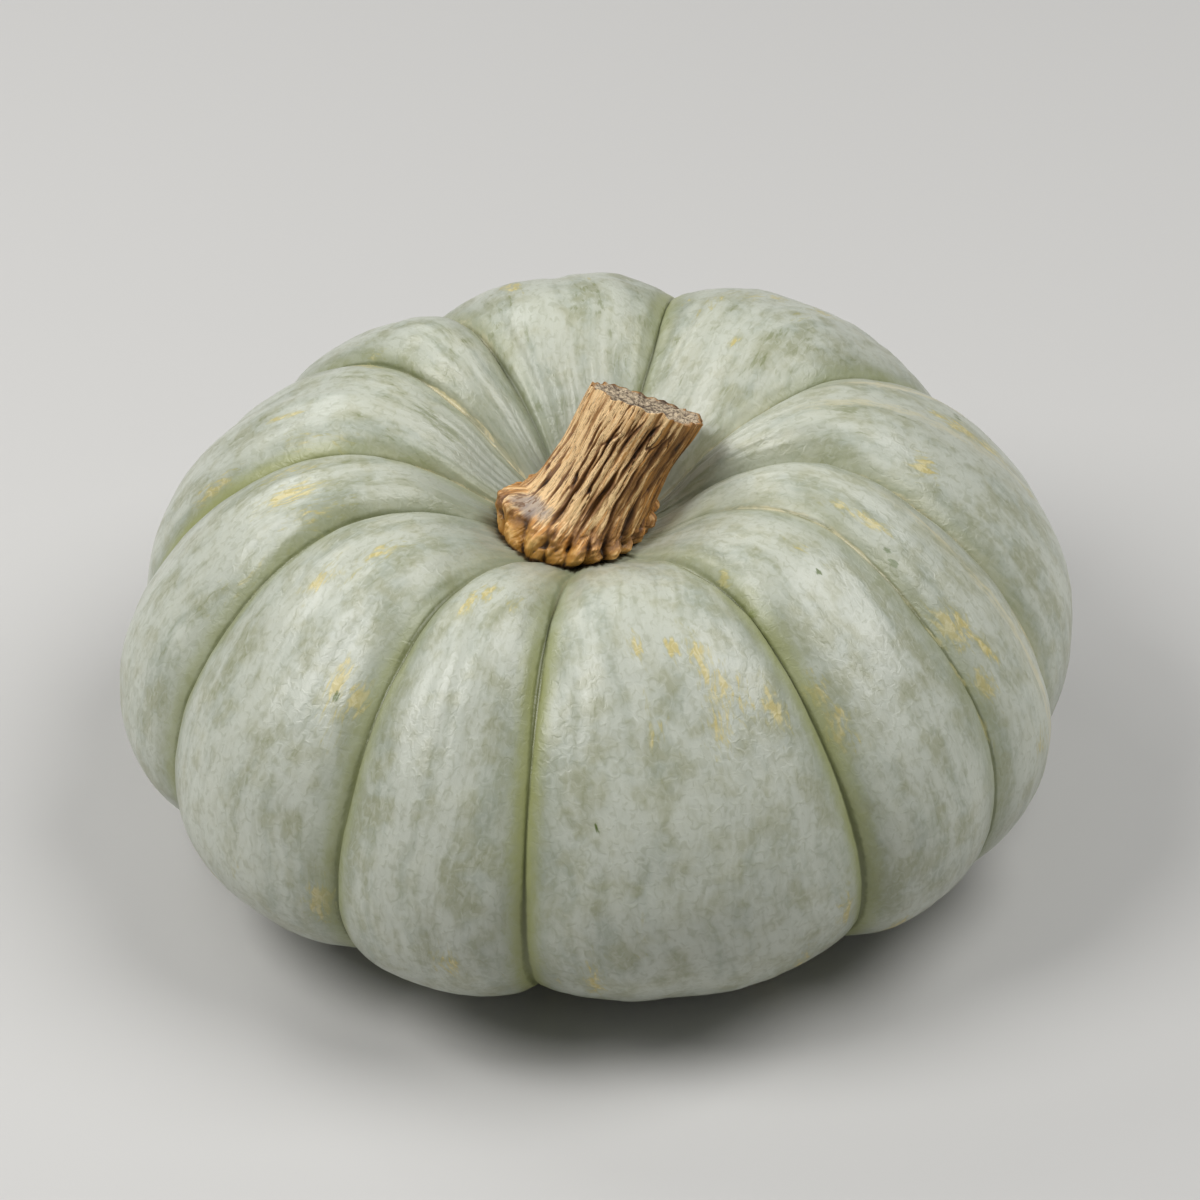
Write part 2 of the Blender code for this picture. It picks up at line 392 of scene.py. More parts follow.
def smooth_curve(handles, run):
    """The points and slopes, at run 0 to 1, of the uniform cubic B-spline that the handles draw."""
    spans = len(handles) - 3
    place = np.clip(run, 0, 1) * spans
    first = np.minimum(place.astype(int), spans - 1)
    t = (place - first)[..., None]
    weights = ((1 - t) ** 3, 3 * t**3 - 6 * t**2 + 4, 3 * (t + t**2 - t**3) + 1, t**3)
    slopes = (-((1 - t) ** 2), 3 * t**2 - 4 * t, 1 + 2 * t - 3 * t**2, t**2)
    points = sum(handles[first + k] * weight for k, weight in enumerate(weights)) / 6
    tangents = sum(handles[first + k] * slope for k, slope in enumerate(slopes)) / 2
    return points, tangents


def rib_outline(run):
    """The crest's distance from the axis and height, its outward normal, and the furrows' depth there."""
    handles = np.array(RIB_HANDLES) * MM
    across_the_axis = np.array((-1, 1, 1))
    handles = np.vstack((handles[1] * across_the_axis, handles, handles[-2] * across_the_axis))
    points, tangents = smooth_curve(handles, np.asarray(run, float))
    normal = np.stack((-tangents[..., 1], tangents[..., 0]), -1)
    normal /= np.linalg.norm(normal, axis=-1, keepdims=True)
    return points[..., 0], points[..., 1], normal, points[..., 2]


def length_along(run):
    """How far down a rib a run is, in mm along the crest from the axis."""
    samples = np.linspace(0, 1, OUTLINE_SAMPLES)
    distance, height, _, _ = rib_outline(samples)
    steps = np.hypot(np.diff(distance), np.diff(height)) / MM
    return np.interp(run, samples, np.concatenate(((0,), np.cumsum(steps))))


def furrow_bearing(furrow, run):
    """The bearing of a furrow in radians. Furrow numbers past the last one go round again."""
    row = np.array(FURROWS)[furrow % RIBS]
    travel = np.clip((run - DRIFT_START) / (DRIFT_END - DRIFT_START), DRIFT_BACK, 1)
    return np.radians(row[..., 0] + row[..., 1] * travel + 360 * (furrow // RIBS))


def rib_half_width(rib, run):
    """Half the way round the fruit from a rib's first furrow to the next, in metres."""
    return rib_outline(run)[0] * (furrow_bearing(rib + 1, run) - furrow_bearing(rib, run)) / 2


def nearer_furrow(rib, across):
    """The number of the furrow on the side of the rib that each place is on."""
    return np.where(across < 0, rib, rib + 1) % RIBS


def rib_bearing(rib, across, run):
    """The bearing in radians of a place across a rib, from -1 at its first furrow to 1 at the next."""
    start, end = furrow_bearing(rib, run), furrow_bearing(rib + 1, run)
    return start + (end - start) * (across + 1) / 2


def lean(points):
    """Tilts the points to the front and left, not at all on the floor and fully from the lean's height up."""
    part = smooth_step(points[..., 2], 0, LEAN_HEIGHT)
    front, left = LEAN_FRONT * part, LEAN_LEFT * part
    x, y, z = points[..., 0], points[..., 1], points[..., 2]
    y, z = np.cos(front) * y - np.sin(front) * z, np.sin(front) * y + np.cos(front) * z
    x, z = np.cos(left) * x - np.sin(left) * z, np.sin(left) * x + np.cos(left) * z
    return np.stack((x, y, z), -1)


def press_on_floor(height):
    """Flattens what would reach below the floor, with a soft edge."""
    bend = (np.clip(height, -FLAT_DEPTH, FLAT_DEPTH) + FLAT_DEPTH) ** 2 / (4 * FLAT_DEPTH)
    return np.where(height > FLAT_DEPTH, height, bend)


def smooth_step(value, low, high):
    """0 below low and 1 above high, with a smooth change between; low may be above high."""
    share = np.clip((value - low) / (high - low), 0, 1)
    return share * share * (3 - 2 * share)


def within(value, start, end, fades):
    """1 between the start and the end and 0 outside, with these fades."""
    rise_from, rise_to, fall_from, fall_to = fades
    rising = smooth_step(value, start + rise_from, start + rise_to)
    return rising * (1 - smooth_step(value, end + fall_from, end + fall_to))


def bell(value, width):
    """1 where the value is 0, falling smoothly to nearly nothing at twice the width."""
    return np.exp(-((value / width) ** 2))


def wrapped(angle):
    """The same angle, between minus half a turn and half a turn."""
    return (angle + math.pi) % (2 * math.pi) - math.pi


def noise_at(points, size, seed):
    """Smooth noise of about -1 to 1 whose bumps have this size, or these three sizes, in mm."""
    places = np.asarray(points).reshape(-1, 3) / size + seed * NOISE_SEED_STEP
    values = [noise.noise(place) for place in places.tolist()]
    return np.array(values).reshape(points.shape[:-1])


def layers_at(points, layers):
    """Layers of noise added up. Each layer holds its height, the size of its bumps, and its seed."""
    return sum(height * noise_at(points, size, seed) for height, size, seed in layers)


def cells_at(points, size, seed):
    """How far each point is inside its own cell of about this size, from 0 on the border."""
    places = np.asarray(points).reshape(-1, 3) / size + seed * NOISE_SEED_STEP
    nearest = (noise.voronoi(place)[0] for place in places.tolist())
    return np.array([second - first for first, second, *_ in nearest]).reshape(points.shape[:-1])


def outward_normals(rings):
    """The surface's normals over rings of points, counter-clockwise from above and from the top down."""
    down = np.gradient(rings, axis=0)
    around = np.roll(rings, -1, 1) - np.roll(rings, 1, 1)
    normal = np.cross(down, around)
    return normal / np.linalg.norm(normal, axis=-1, keepdims=True)


def with_poles(rings):
    """One row for each point of the rings, between the middles of the first and the last ring."""
    return np.concatenate((rings[:1].mean(1), rings.reshape(-1, *rings.shape[2:]), rings[-1:].mean(1)))


def add_object(name, data):
    obj = bpy.data.objects.new(name, data)
    bpy.context.scene.collection.objects.link(obj)
    return obj


def closed_mesh(name, rings, fields):
    """A closed, smooth mesh over rings of points from the top down, with the fields as its attributes."""
    count, sides = rings.shape[:2]
    side = np.arange(sides)
    following = (side + 1) % sides
    upper = 1 + sides * np.arange(count - 1)[:, None]
    lower = upper + sides
    quads = np.stack((upper + side, lower + side, lower + following, upper + following), -1)
    last_ring = 1 + sides * (count - 1)
    bottom = last_ring + sides
    top_fan = [(0, 1 + a, 1 + b) for a, b in zip(side.tolist(), following.tolist())]
    bottom_fan = [(bottom, last_ring + b, last_ring + a) for a, b in zip(side.tolist(), following.tolist())]
    mesh = bpy.data.meshes.new(name)
    mesh.from_pydata(with_poles(rings).tolist(), [], top_fan + quads.reshape(-1, 4).tolist() + bottom_fan)
    mesh.shade_smooth()
    for field, values in fields.items():
        kind, slot = ("FLOAT_VECTOR", "vector") if values.ndim == 3 else ("FLOAT", "value")
        attribute = mesh.attributes.new(field, kind, "POINT")
        attribute.data.foreach_set(slot, with_poles(values).astype(np.float32).ravel())
    return add_object(name, mesh)


def add_rib_map(mesh, run, rib, across):
    """Gives each rib a flat map in mm, kept on the corners of the faces because it is cut at the furrows.

    Its first number goes across the rib, and narrows only partly where the rib narrows. The second goes
    along it.
    """
    next_across = np.roll(across, -1, 1)
    next_across = np.where(next_across == -1, 1, next_across)
    middle = np.zeros((1, run.shape[1]))

    def corners(values, following, top, bottom):
        quads = np.stack((values[:-1], values[1:], following[1:], following[:-1]), -1)
        top_fan = np.stack((top, values[:1], following[:1]), -1)
        bottom_fan = np.stack((bottom, following[-1:], values[-1:]), -1)
        return np.concatenate([part.ravel() for part in (top_fan, quads, bottom_fan)])

    runs = corners(run, run, middle, middle + 1)
    ribs = corners(rib, rib, rib[:1], rib[:1]).astype(int)
    places = corners(across, next_across, middle, middle)
    half_width = rib_half_width(ribs, runs) / MM
    wide = half_width**RIB_MAP_NARROWING * MAP_HALF_WIDTH ** (1 - RIB_MAP_NARROWING)
    flat_map = np.stack((places * wide + ribs * MAP_RIB_STEP, length_along(runs), np.zeros_like(runs)), -1)
    attribute = mesh.attributes.new("rib_map", "FLOAT_VECTOR", "CORNER")
    attribute.data.foreach_set("vector", flat_map.astype(np.float32).ravel())


class Nodes:
    """Short calls that add one shader node each and return its output."""

    def __init__(self, name):
        self.material = bpy.data.materials.new(name)
        self.material.use_nodes = True
        self.tree = self.material.node_tree
        self.shader = self.tree.nodes["Principled BSDF"]

    def put(self, socket, value):
        if isinstance(value, bpy.types.NodeSocket):
            self.tree.links.new(value, socket)
        elif isinstance(value, tuple) and len(value) == 3 and len(socket.default_value) == 4:
            socket.default_value = (*value, 1)
        else:
            socket.default_value = value

    def add(self, kind, *values, **settings):
        """A node with these settings, and these values on its first inputs."""
        node = self.tree.nodes.new(kind)
        for setting, value in settings.items():
            setattr(node, setting, value)
        for socket, value in zip(node.inputs, values):
            self.put(socket, value)
        return node

    def field(self, name, vector=False):
        node = self.add("ShaderNodeAttribute", attribute_name=name)
        return node.outputs["Vector" if vector else "Fac"]

    def math(self, operation, *values):
        return self.add("ShaderNodeMath", *values, operation=operation).outputs[0]

    def times(self, *factors):
        result = factors[0]
        for factor in factors[1:]:
            result = self.math("MULTIPLY", result, factor)
        return result

    def plus(self, *terms):
        """The sum of the terms, of which a pair counts as its product."""
        terms = [self.times(*term) if isinstance(term, tuple) else term for term in terms]
        result = terms[0]
        for term in terms[1:]:
            result = self.math("ADD", result, term)
        return result

    def scaled(self, vector, scale):
        scale = scale if isinstance(scale, tuple) else (scale,) * 3
        return self.add("ShaderNodeVectorMath", vector, scale, operation="MULTIPLY").outputs[0]

    def moved(self, vector, offset):
        return self.add("ShaderNodeVectorMath", vector, offset, operation="ADD").outputs[0]

    def noise_texture(self, vector, size, flat, **values):
        """A noise texture on a vector in mm, whose bumps have this size or these three sizes."""
        sizes = size if isinstance(size, tuple) else (size,) * 3
        node = self.add("ShaderNodeTexNoise", noise_dimensions="2D" if flat else "3D")
        self.put(node.inputs["Vector"], self.scaled(vector, tuple(1 / s for s in sizes)))
        node.inputs["Scale"].default_value = 1.0
        for socket, value in values.items():
            node.inputs[socket].default_value = value
        return node

    def noise(self, vector, size, detail=3, roughness=0.6, distortion=0.0, flat=False):
        """Noise of 0 to 1."""
        values = {"Detail": detail, "Roughness": roughness, "Distortion": distortion}
        return self.noise_texture(vector, size, flat, **values).outputs["Fac"]

    def wander(self, vector, size, amount, flat=False):
        """The vector, pushed to and fro by noise of this size, by about this amount in mm."""
        node = self.noise_texture(vector, size, flat, Detail=0.0)
        centred = self.moved(node.outputs["Color"], (-0.5, -0.5, -0.5))
        return self.moved(vector, self.scaled(centred, amount))

    def step(self, value, low, high):
        """0 below low and 1 above high, with a smooth change between; low may be above high."""
        node = self.add("ShaderNodeMapRange", interpolation_type="SMOOTHSTEP")
        for socket, number in (("Value", value), ("From Min", low), ("From Max", high)):
            self.put(node.inputs[socket], number)
        return node.outputs["Result"]

    def vein(self, pattern, outer, inner):
        """1 along the lines on which a noise passes its middle, and 0 where it is further off than outer."""
        return self.step(self.math("ABSOLUTE", self.math("SUBTRACT", pattern, 0.5)), outer, inner)

    def mix(self, factor, first, second):
        node = self.add("ShaderNodeMix", data_type="RGBA")
        inputs = [s for s in node.inputs if s.enabled]
        for socket, value in zip(inputs, (factor, first, second)):
            self.put(socket, value)
        return next(s for s in node.outputs if s.enabled)

    def coats(self, colour, *rows):
        """The colour under coats of paint.

        Each row holds the paint, the value that it follows from a low to a high, and shares that thin it.
        """
        for paint, value, low, high, *shares in rows:
            colour = self.mix(self.times(self.step(value, low, high), *shares), colour, paint)
        return colour

    def bump(self, height, distance):
        """A normal with this height, from 0 to 1, standing this many mm proud."""
        node = self.add("ShaderNodeBump")
        self.put(node.inputs["Height"], height)
        node.inputs["Distance"].default_value = distance * MM
        return node.outputs["Normal"]

    def finished(self, colour, roughness, normal):
        """The material, with these on its shader."""
        for socket, value in (("Base Color", colour), ("Roughness", roughness), ("Normal", normal)):
            self.put(self.shader.inputs[socket], value)
        return self.material


def fruit_grid():
    """The run, the rib and the place across it of each point of the fruit's mesh, ring by ring."""
    turn = np.linspace(0, 1, COLUMNS_PER_RIB, endpoint=False)
    across = (1 - COLUMN_CROWDING) * (2 * turn - 1) - COLUMN_CROWDING * np.cos(np.pi * turn)
    rib = np.repeat(np.arange(RIBS), COLUMNS_PER_RIB)
    t = np.linspace(0, 1, FRUIT_RINGS)
    runs = t + RING_CROWDING * np.sin(2 * math.pi * t) / (2 * math.pi)
    runs = FIRST_RUN + (1 - 2 * FIRST_RUN) * np.clip(runs, 0, 1)
    run, rib = np.meshgrid(runs, rib, indexing="ij")
    across = np.tile(across, (FRUIT_RINGS, RIBS))
    return run, rib, across


def crease_depth(run, rib, across, half_width):
    """How deep the soft creases are at each point, in metres."""
    depth = np.zeros_like(run)
    for crease_rib, place, deep, wide, start, end in SOFT_CREASES:
        fade = within(run, start, end, CREASE_FADES)
        away = (across - place) * half_width / MM
        depth += np.where(rib == crease_rib, deep * MM * bell(away, wide) * fade, 0)
    return depth


def fruit_surface(run, rib, across):
    """Points on the fruit, with its soft creases but without its fine relief."""
    distance, height, normal, depth = rib_outline(run)
    share = np.array(FURROWS)[nearer_furrow(rib, across), 2]
    sunk = depth * share * (1 - np.clip(1 - across**2, 0, 1) ** RIB_ROUNDNESS)
    sunk = sunk + crease_depth(run, rib, across, rib_half_width(rib, run))
    bearing = rib_bearing(rib, across, run)
    distance = distance - normal[..., 0] * sunk
    height = press_on_floor(height - normal[..., 1] * sunk)
    points = np.stack((distance * np.cos(bearing), distance * np.sin(bearing), height), -1)
    return lean(points) + AXIS_FOOT


def fruit_relief(place, flow, run):
    """How far the fine relief stands out from the smooth fruit, in metres."""
    ridges = layers_at(flow, RIDGES) + layers_at(flow * FINE_FLOW, FINE_RIDGES)
    ridges *= 1 - RIDGE_LOSS * smooth_step(run, *RIDGE_LOSS_RUNS)
    return (layers_at(place, LUMPS) + ridges) * MM


def patch_field(run, distance, bearing, patches):
    """How much of the strongest patch each point has."""
    along = length_along(run)
    amount = np.zeros_like(run)
    for rib, place, at, long, wide, strength in patches:
        middle = rib_bearing(np.array(rib), place, at)
        beside = wrapped(bearing - middle) * distance / MM
        down = along - length_along(at)
        amount = np.maximum(amount, strength * np.exp(-((beside / wide) ** 2) - (down / long) ** 2))
    return amount


def hidden_patches():
    """Ochre patches at random on the ribs and runs that the front view doesn't show."""
    chance = np.random.default_rng(HIDDEN_PATCH_SEED)
    rows = []
    for _ in range(HIDDEN_PATCHES):
        rib = int(chance.integers(RIBS))
        low = FRONT_PATCH_LOW if rib in FRONT_RIBS else HIDDEN_PATCH_LOW
        rows.append((rib, *chance.uniform(low, HIDDEN_PATCH_HIGH)))
    return rows


def line_field(run, distance, bearing):
    """The cream lines' strength at each point, and how many widths the nearest one is away."""
    strength = np.zeros_like(run)
    away = np.full_like(run, LINE_REACH)
    for rib, place, start, end, wide, strong in CREAM_LINES:
        middle = rib_bearing(np.array(rib), place, run)
        beside = np.abs(wrapped(bearing - middle)) * distance / MM / wide
        fade = within(run, start, end, LINE_FADES)
        nearer = (beside < away) & (fade > 0)
        away = np.where(nearer, beside, away)
        strength = np.where(nearer, strong * fade, strength)
    return strength, away


def from_seat(place, run):
    """How far each point is outside the stem's foot, in mm. The underside counts as far away."""
    middle = (STEM_FOOT + AXIS_FOOT[:2] + SEAT_LEAN) / MM
    away = place[..., :2] - middle
    return np.hypot(away[..., 0], away[..., 1]) - FOOT_RADIUS / MM + FAR_AWAY * (run > UNDERSIDE_RUN)


def rind_fields(run, rib, across, place):
    """What the rind's material reads at each point: places and distances in mm, and strengths of 0 to 1."""
    bearing = rib_bearing(rib, across, run)
    distance = rib_outline(run)[0]
    line, line_away = line_field(run, distance, bearing)
    marbled = 0.5 + 0.5 * np.cos(bearing - MARBLED_BEARING)
    # Where the cavity's left side gets its bluer tint and painted shade.
    dim = 0.5 - 0.5 * np.cos(bearing)
    return {
        "place": place,
        "run": run,
        "furrow": (1 - np.abs(across)) * rib_half_width(rib, run) / MM,
        "crest": 1 - np.abs(across),
        "greenness": np.array(FURROWS)[nearer_furrow(rib, across), 3],
        "ochre": patch_field(run, distance, bearing, list(OCHRE_PATCHES) + hidden_patches()),
        "olive": patch_field(run, distance, bearing, OLIVE_PATCHES),
        "fleck": patch_field(run, distance, bearing, [(*row, 1) for row in GREEN_FLECKS]),
        "seat": from_seat(place, run),
        "scar": distance / MM + FAR_AWAY * (run < UNDERSIDE_RUN),
        "marbled": marbled * (1 - smooth_step(run, *MARBLED_FADE_RUNS)),
        "dim": dim * (1 - smooth_step(run, *DIM_FADE_RUNS)),
        "line": line,
        "line_away": line_away,
    }


def make_fruit():
    """The fruit: its smooth ribs, and the relief, scar groove and swellings on them."""
    run, rib, across = fruit_grid()
    bearing = rib_bearing(rib, across, run)
    distance = rib_outline(run)[0]
    smooth = fruit_surface(run, rib, across)
    place = smooth / MM
    # Flow follows the ribs: two parts go round the fruit, and the third goes down it.
    straight = rib_bearing(rib, across, np.full_like(run, DRIFT_START))
    around = FLOW_RADIUS * np.cos(straight), FLOW_RADIUS * np.sin(straight)
    flow = np.stack((*around, length_along(run)), -1)
    relief = fruit_relief(place, flow, run)
    groove = bell(distance / MM - SCAR_RADIUS - SCAR_GROOVE_GAP, SCAR_GROOVE_WIDTH)
    relief -= SCAR_GROOVE_DEPTH * MM * groove * (run > UNDERSIDE_RUN)
    for *patch, height in SWELLINGS:
        relief += height * MM * patch_field(run, distance, bearing, [(*patch, 1)])
    points = smooth + outward_normals(smooth) * relief[..., None]
    points[..., 2] = np.maximum(points[..., 2], 0)
    fruit = closed_mesh("pumpkin_fruit", points, rind_fields(run, rib, across, place))
    add_rib_map(fruit.data, run, rib, across)
    return fruit


PALE_RIND = (0.57, 0.595, 0.515)
MIDDLE_RIND = (0.41, 0.425, 0.315)
BLUE_RIND = (0.405, 0.44, 0.37)
CREAM_RIND = (0.52, 0.515, 0.375)
OLIVE_RIND = (0.24, 0.255, 0.145)
STROKE_RIND = (0.185, 0.21, 0.09)
# A darker, bluer tint on the cavity's left side: partly the rind's own tone, partly painted shade.
CAVITY_TINT_AND_SHADE = (0.27, 0.31, 0.255)
# Painted shade that darkens the rind towards each furrow.
FURROW_PAINTED_SHADE = (0.23, 0.26, 0.165)
FURROW_FLANK = (0.33, 0.35, 0.13)
FURROW_CORE = (0.10, 0.115, 0.03)
OCHRE = (0.55, 0.465, 0.18)
PALE_OCHRE = (0.68, 0.60, 0.31)
OCHRE_EDGE = (0.40, 0.385, 0.18)
FLECK_GREEN = (0.075, 0.12, 0.008)
CREAM_LINE = (0.66, 0.60, 0.38)
# Partly a stain, partly painted shade where the stem meets the rind.
SEAT_STAIN_AND_SHADE = (0.06, 0.045, 0.02)
GROUND_BUFF = (0.50, 0.42, 0.24)
SCAR_BROWN = (0.17, 0.10, 0.045)
SCAR_PALE = (0.46, 0.34, 0.20)


def rind_bloom(nodes, run, cloud, streaks, worms, mottle, ragged):
    """The ribs' colour: blue-grey bloom with painted sheen on the crests, olive blotches, streaks and dashes,
    and a bluer tint with painted shade on the cavity's left side.
    """
    marbled = nodes.field("marbled")
    # Paler towards the crests: painted sheen, on top of the bloom's random clouds and mottle.
    tone = nodes.plus((cloud, 0.9), (mottle, 0.6), (nodes.field("crest"), 0.14))
    blotches = nodes.plus(0.16, (marbled, 0.18))
    dashes = nodes.plus(0.12, (marbled, 0.42))
    colour = nodes.coats(
        MIDDLE_RIND,
        (BLUE_RIND, mottle, 0.35, 0.65),
        (CREAM_RIND, run, 0.42, 0.24, nodes.step(cloud, 0.35, 0.65), 0.8),
        (PALE_RIND, tone, 0.68, 0.98, 0.78),
        (OLIVE_RIND, tone, 0.80, 0.56, blotches),
        (OLIVE_RIND, streaks, 0.50, 0.74, 0.20),
        (PALE_RIND, streaks, 0.47, 0.28, 0.30),
        (OLIVE_RIND, worms, 0.52, 0.70, 0.24),
        (PALE_RIND, worms, 0.48, 0.32, 0.30),
        (STROKE_RIND, ragged, 0.58, 0.68, nodes.step(tone, 0.84, 0.68), dashes),
    )
    # The cavity's left side: partly the rind's own bluer tone, partly painted shade.
    return nodes.mix(nodes.times(nodes.field("dim"), 0.9), colour, CAVITY_TINT_AND_SHADE)


def rind_marks(nodes, colour, worms, ragged):
    """The olive marks, ochre patches and green flecks over the bloom, and how ochre each place is."""
    olive = nodes.field("olive")
    colour = nodes.mix(nodes.times(olive, 0.22), colour, OLIVE_RIND)
    strokes = nodes.plus((olive, 0.6), ragged)
    patches = nodes.plus((nodes.field("ochre"), 0.72), ragged)
    colour = nodes.coats(
        colour,
        (STROKE_RIND, strokes, 0.86, 1.06, 0.5),
        (OCHRE_EDGE, patches, 0.74, 0.95, 0.45),
    )
    ochre = nodes.times(nodes.step(patches, 0.88, 1.10), 0.85)
    colour = nodes.mix(ochre, colour, nodes.coats(PALE_OCHRE, (OCHRE, worms, 0.38, 0.60)))
    flecks = nodes.plus(nodes.field("fleck"), (ragged, 0.8))
    return nodes.coats(colour, (FLECK_GREEN, flecks, 0.98, 1.22, 0.92)), ochre


def rind_furrows(nodes, colour, run, streaks, jitter, ochre):
    """The furrows' painted shade, yellow-green flanks and dark cores, and the cream lines beside them."""
    furrow = nodes.field("furrow")
    beside = nodes.plus(furrow, (jitter, 2.4))
    core_edge = nodes.plus(furrow, (jitter, 0.8))
    line_edge = nodes.plus(nodes.field("line_away"), (jitter, 2.4))
    outside = nodes.step(run, 0.26, 0.42)
    # Painted shade towards the furrows, stronger below the upper runs.
    shade = nodes.plus(0.24, (outside, 0.22))
    greenness = nodes.times(nodes.field("greenness"), nodes.plus(0.3, (outside, 0.5)))
    bare = nodes.math("SUBTRACT", 1, ochre)
    threads = nodes.plus(0.3, (nodes.step(streaks, 0.56, 0.44), 0.7))
    line = nodes.times(nodes.field("line"), threads)
    return nodes.coats(
        colour,
        (FURROW_PAINTED_SHADE, beside, 13, 0.5, shade),
        (FURROW_FLANK, beside, 6.0, 0.8, greenness),
        (FURROW_CORE, core_edge, 1.1, 0.3, nodes.step(run, 0.10, 0.34), 0.66, bare),
        (CREAM_RIND, line_edge, 6, 1, line, 0.4),
        (CREAM_LINE, line_edge, 1.3, 0.4, line),
    )


def rind_ends(nodes, colour, run, cloud, ragged, jitter):
    """The stain and painted shade at the stem's seat, the buff underside and the blossom's scar, and where
    the scar is.
    """
    # A dark ring round the stem's foot: partly a stain, partly painted shade in the gap.
    stain_and_shade = nodes.plus(nodes.field("seat"), (jitter, 3))
    ground = nodes.plus(run, (cloud, 0.12))
    scar_edge = nodes.plus(nodes.field("scar"), (jitter, 4))
    colour = nodes.coats(
        colour,
        (SEAT_STAIN_AND_SHADE, stain_and_shade, 0.4, -1.4, 0.9),
        (GROUND_BUFF, ground, 0.76, 0.88, 0.55),
        (SCAR_BROWN, scar_edge, SCAR_RADIUS + 6, SCAR_RADIUS, 0.55),
    )
    scar = nodes.step(scar_edge, SCAR_RADIUS + 0.8, SCAR_RADIUS - 0.4)
    return nodes.mix(scar, colour, nodes.coats(SCAR_BROWN, (SCAR_PALE, ragged, 0.40, 0.56))), scar


def rind_material():
    """The waxy grey-green rind: streaked along the ribs, mottled, with ochre patches and dark furrows."""
    nodes = Nodes("grey_green_rind")
    run = nodes.field("run")
    rib_map = nodes.field("rib_map", True)
    wavy = nodes.wander(nodes.wander(rib_map, 34, 9, flat=True), 8, 2.2, flat=True)
    cloud = nodes.noise(wavy, (9, 30, 1), flat=True)
    streaks = nodes.noise(wavy, (2.6, 15, 1), flat=True)
    ragged = nodes.noise(wavy, (1.5, 5, 1), detail=2, roughness=0.65, flat=True)
    worms = nodes.noise(rib_map, (1.9, 2.2, 1), detail=2, roughness=0.5, distortion=0.7, flat=True)
    mottle = nodes.noise(nodes.field("place", True), 8, detail=2)
    jitter = nodes.math("SUBTRACT", ragged, 0.5)
    colour = rind_bloom(nodes, run, cloud, streaks, worms, mottle, ragged)
    colour, ochre = rind_marks(nodes, colour, worms, ragged)
    colour = rind_furrows(nodes, colour, run, streaks, jitter, ochre)
    colour, scar = rind_ends(nodes, colour, run, cloud, ragged, jitter)
    rough = nodes.plus(0.25, (mottle, 0.18), (ochre, 0.1), (scar, 0.3))
    return nodes.finished(colour, rough, nodes.bump(worms, 0.12))


def seat_height(x, y):
    """The height of the seat under the stem, before the lean."""
    distance, height, _, _ = rib_outline(np.linspace(0, SEAT_END_RUN, SEAT_SAMPLES))
    return np.interp(np.hypot(x, y), distance, height)


def stem_foot(angle):
    """Points just below the seat, on the edge of the stem's foot."""
    x = STEM_FOOT[0] + FOOT_RADIUS * np.cos(angle)
    y = STEM_FOOT[1] + FOOT_RADIUS * np.sin(angle)
    return np.stack((x, y, seat_height(x, y) - ROOT_DEPTH), -1)


def stem_axis():
    """The middle of the stem's foot, and the direction from there to the middle of its cut."""
    foot = np.append(STEM_FOOT, seat_height(*STEM_FOOT))
    return foot, (STEM_CUT - foot) / np.linalg.norm(STEM_CUT - foot)


def stem_side(angle, rise):
    """Smooth points up the stem's side, and how far they have climbed from the seat in mm.

    The rise is 0 in the seat and 1 at the cut.
    """
    foot_middle, along = stem_axis()
    right = np.cross((0, 1, 0), along)
    right /= np.linalg.norm(right)
    back = np.cross(along, right)
    sideways = np.cos(angle)[..., None] * right + np.sin(angle)[..., None] * back
    beside = foot_middle + SHAFT_RADIUS * sideways
    foot = stem_foot(angle)
    start = (foot - beside)[..., 2:] / along[2]
    end = ((STEM_CUT - beside) @ CUT_FACING / (along @ CUT_FACING))[..., None]
    climb = (end - start) * rise[..., None]
    fade = np.exp(-climb / FLARE_HEIGHT)
    outward = np.stack((np.cos(angle), np.sin(angle), np.zeros_like(angle)), -1)
    bulge = FOOT_BULGE * (climb / FLARE_HEIGHT) * fade * outward
    shaft_base = beside + start * along
    return shaft_base + climb * along + (foot - shaft_base) * fade + bulge, climb[..., 0] / MM


def ridged(phase, sharpness):
    """Rounded crests of height 1 between narrow valleys of height 0, two for each turn of the phase."""
    return np.abs(np.sin(phase)) ** sharpness


def with_back_rows(rows, bearings, low, high, seed):
    """The rows of the photographed side, and others round the back, drawn between a low and a high row.

    A column whose low number is below 0 is a bearing, and its draw is a turn away from the given one.
    """
    chance = np.random.default_rng(seed)
    bearing_columns = np.array(low) < 0
    return list(rows) + [chance.uniform(low, high) + bearing * bearing_columns for bearing in bearings]


def knob_height(angle, climb, grain):
    """How far the round knobs stand out at each point, in mm."""
    beside_shift = layers_at(grain, KNOB_TURNS)
    climb_shift = layers_at(grain, KNOB_CLIMBS)
    height = np.zeros_like(angle)
    rows = with_back_rows(KNOBS, BACK_KNOB_BEARINGS, BACK_KNOB_LOW, BACK_KNOB_HIGH, STEM_SEED)
    for bearing, middle, half_width, half_height, proud in rows:
        beside = wrapped(angle - math.radians(bearing)) * FOOT_RADIUS / MM + beside_shift
        inside = 1 - (beside / half_width) ** 2 - ((climb + climb_shift - middle) / half_height) ** 2
        height = np.hypot(height, proud * np.clip(inside, 0, 1) ** KNOB_ROUNDNESS)
    return height


